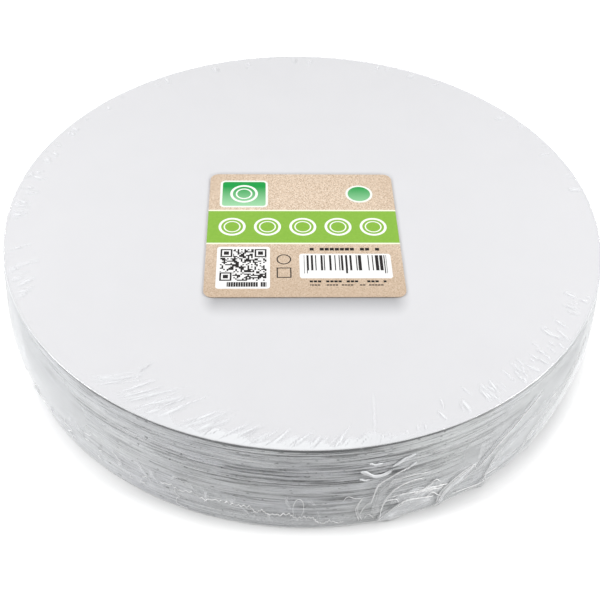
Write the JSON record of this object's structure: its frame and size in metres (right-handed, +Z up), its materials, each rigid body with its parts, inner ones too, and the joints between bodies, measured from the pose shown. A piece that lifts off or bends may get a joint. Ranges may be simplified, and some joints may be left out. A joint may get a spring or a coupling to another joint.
{
  "type": "pack of paper plates",
  "caption": "Sealed round pack of flat white paper plates in gathered clear shrink film, with a square card label on top",
  "frame": {"origin": "the middle of the pack's flat base, on the surface that it stands on", "axes": "+Z up through the middle of the pile; +X to the right and -Y to the front, as the label is read"},
  "size_m": [0.2313, 0.2314, 0.0451],
  "materials": {
    "shrink_film": "clear glossy shrink film, whitish where it gathers",
    "plate_paper": "uncoated white pressed board",
    "label_card": "brown card with fibres",
    "label_lime": "matt lime green print",
    "label_cream": "matt cream print",
    "label_green": "matt green print, paler at one side",
    "label_white": "matt white print"
  },
  "bodies": {
    "root": {"shrink_film": "shrink_film", "top_plate": "plate_paper", "plates_1": "plate_paper", "plates_2": "plate_paper", "plates_3": "plate_paper", "plates_4": "plate_paper", "plates_5": "plate_paper", "plates_6": "plate_paper", "plates_7": "plate_paper", "plates_8": "plate_paper", "plates_9": "plate_paper", "label_card": "label_card", "label_band": "label_lime", "label_lines": "label_cream", "label_badge": "label_green", "label_rims": "label_white", "label_panels": "label_white"}
  },
  "joints": []
}
